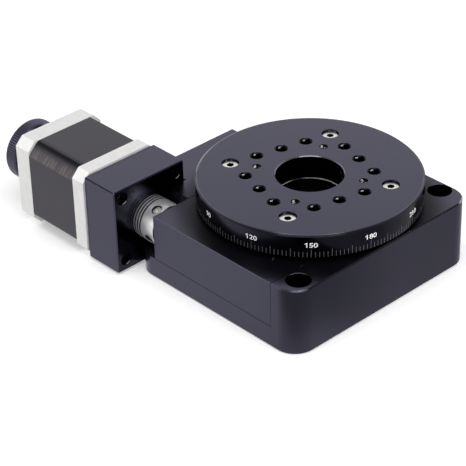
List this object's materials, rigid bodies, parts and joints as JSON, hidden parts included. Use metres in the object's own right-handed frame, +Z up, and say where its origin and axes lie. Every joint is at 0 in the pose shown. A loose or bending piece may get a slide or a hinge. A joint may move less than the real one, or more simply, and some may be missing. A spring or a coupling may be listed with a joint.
{
  "type": "motorized rotation stage",
  "caption": "Low rotary table on a square base, turned by a worm gear and a stepper motor with a slit coupling and hand knob.",
  "frame": {"origin": "the table's turning axis in the plane that the base rests on", "axes": "+Z up along the table's turning axis, +X along the worm away from the motor"},
  "size_m": [0.1857, 0.1202, 0.044],
  "materials": {
    "black_anodised": "fine bead-blasted black anodise",
    "black_anodised_hub": "turned black anodise",
    "plain_aluminium": "turned",
    "bright_aluminium": "turned, bright",
    "brushed_cap": "brushed casting",
    "dark_laminations": "painted laminated stack, brushed corners",
    "bronze": "machined",
    "cage_brass": "pressed",
    "pin_brass": "plated",
    "hard_steel": "ground",
    "ground_steel": "ground",
    "bearing_steel": "polished",
    "stainless": "bright",
    "black_steel": "black oxide",
    "rotor_iron": "stamped",
    "magnet": "sintered",
    "copper_wire": "enamelled winding",
    "black_plastic": "moulded",
    "black_knob": "black anodise, knurled rim"
  },
  "bodies": {
    "base": {"base_body": "black_anodised", "bearing_clamp_ring": "plain_aluminium", "bracket_screws": "black_steel", "clamp_ring_screws": "stainless", "connector_pins": "pin_brass", "connector_socket": "black_plastic", "housing_screws": "black_steel", "main_bearing_outer_ring": "bearing_steel", "motor_bearing_outer_rings": "bearing_steel", "motor_body_screws": "stainless", "motor_bracket": "black_anodised", "motor_coils": "copper_wire", "motor_front_cap": "brushed_cap", "motor_mounting_screws": "stainless", "motor_rear_cap": "brushed_cap", "motor_stator": "dark_laminations", "worm_bearing_nut": "bearing_steel", "worm_bearing_outer_rings": "bearing_steel", "worm_housing": "black_anodised"},
    "table": {"rotary_table": "black_anodised", "table_screws": "stainless", "table_grub_screws": "stainless", "table_hub": "black_anodised_hub", "hub_nut": "bearing_steel", "worm_wheel": "bronze", "wheel_screws": "black_steel", "main_bearing_inner_ring": "bearing_steel"},
    "drive": {"worm_shaft": "hard_steel", "coupling": "bright_aluminium", "coupling_screws": "stainless", "motor_shaft": "ground_steel", "motor_rotor": "rotor_iron", "rotor_magnet": "magnet", "worm_bearing_inner_rings": "bearing_steel", "motor_bearing_inner_rings": "bearing_steel", "knob": "black_knob", "knob_grub_screw": "black_steel"},
    "main_bearing_cage_body": {"main_bearing_balls": "bearing_steel", "main_bearing_cage": "cage_brass"},
    "small_bearing_cages_body": {"worm_bearing_balls": "bearing_steel", "worm_bearing_cages": "cage_brass", "motor_bearing_balls": "bearing_steel", "motor_bearing_cages": "cage_brass"}
  },
  "joints": [
    {"name": "table_rotation", "type": "hinge", "parent": "base", "child": "table", "pos_m": [0, 0, 0.033], "axis": [0, 0, 1], "continuous": true},
    {"name": "drive_rotation", "type": "hinge", "parent": "base", "child": "drive", "pos_m": [0, -0.049, 0.022], "axis": [1, 0, 0], "continuous": true},
    {"name": "main_bearing_balls_rotation", "type": "hinge", "parent": "base", "child": "main_bearing_cage_body", "pos_m": [0, 0, 0.0086], "axis": [0, 0, 1], "continuous": true},
    {"name": "small_bearing_balls_rotation", "type": "hinge", "parent": "base", "child": "small_bearing_cages_body", "pos_m": [0, -0.049, 0.022], "axis": [1, 0, 0], "continuous": true}
  ],
  "couplings": [
    {"joint": "drive_rotation", "follows": "table_rotation", "ratio": -90},
    {"joint": "main_bearing_balls_rotation", "follows": "table_rotation", "ratio": 0.44118},
    {"joint": "small_bearing_balls_rotation", "follows": "table_rotation", "ratio": -33.75}
  ]
}
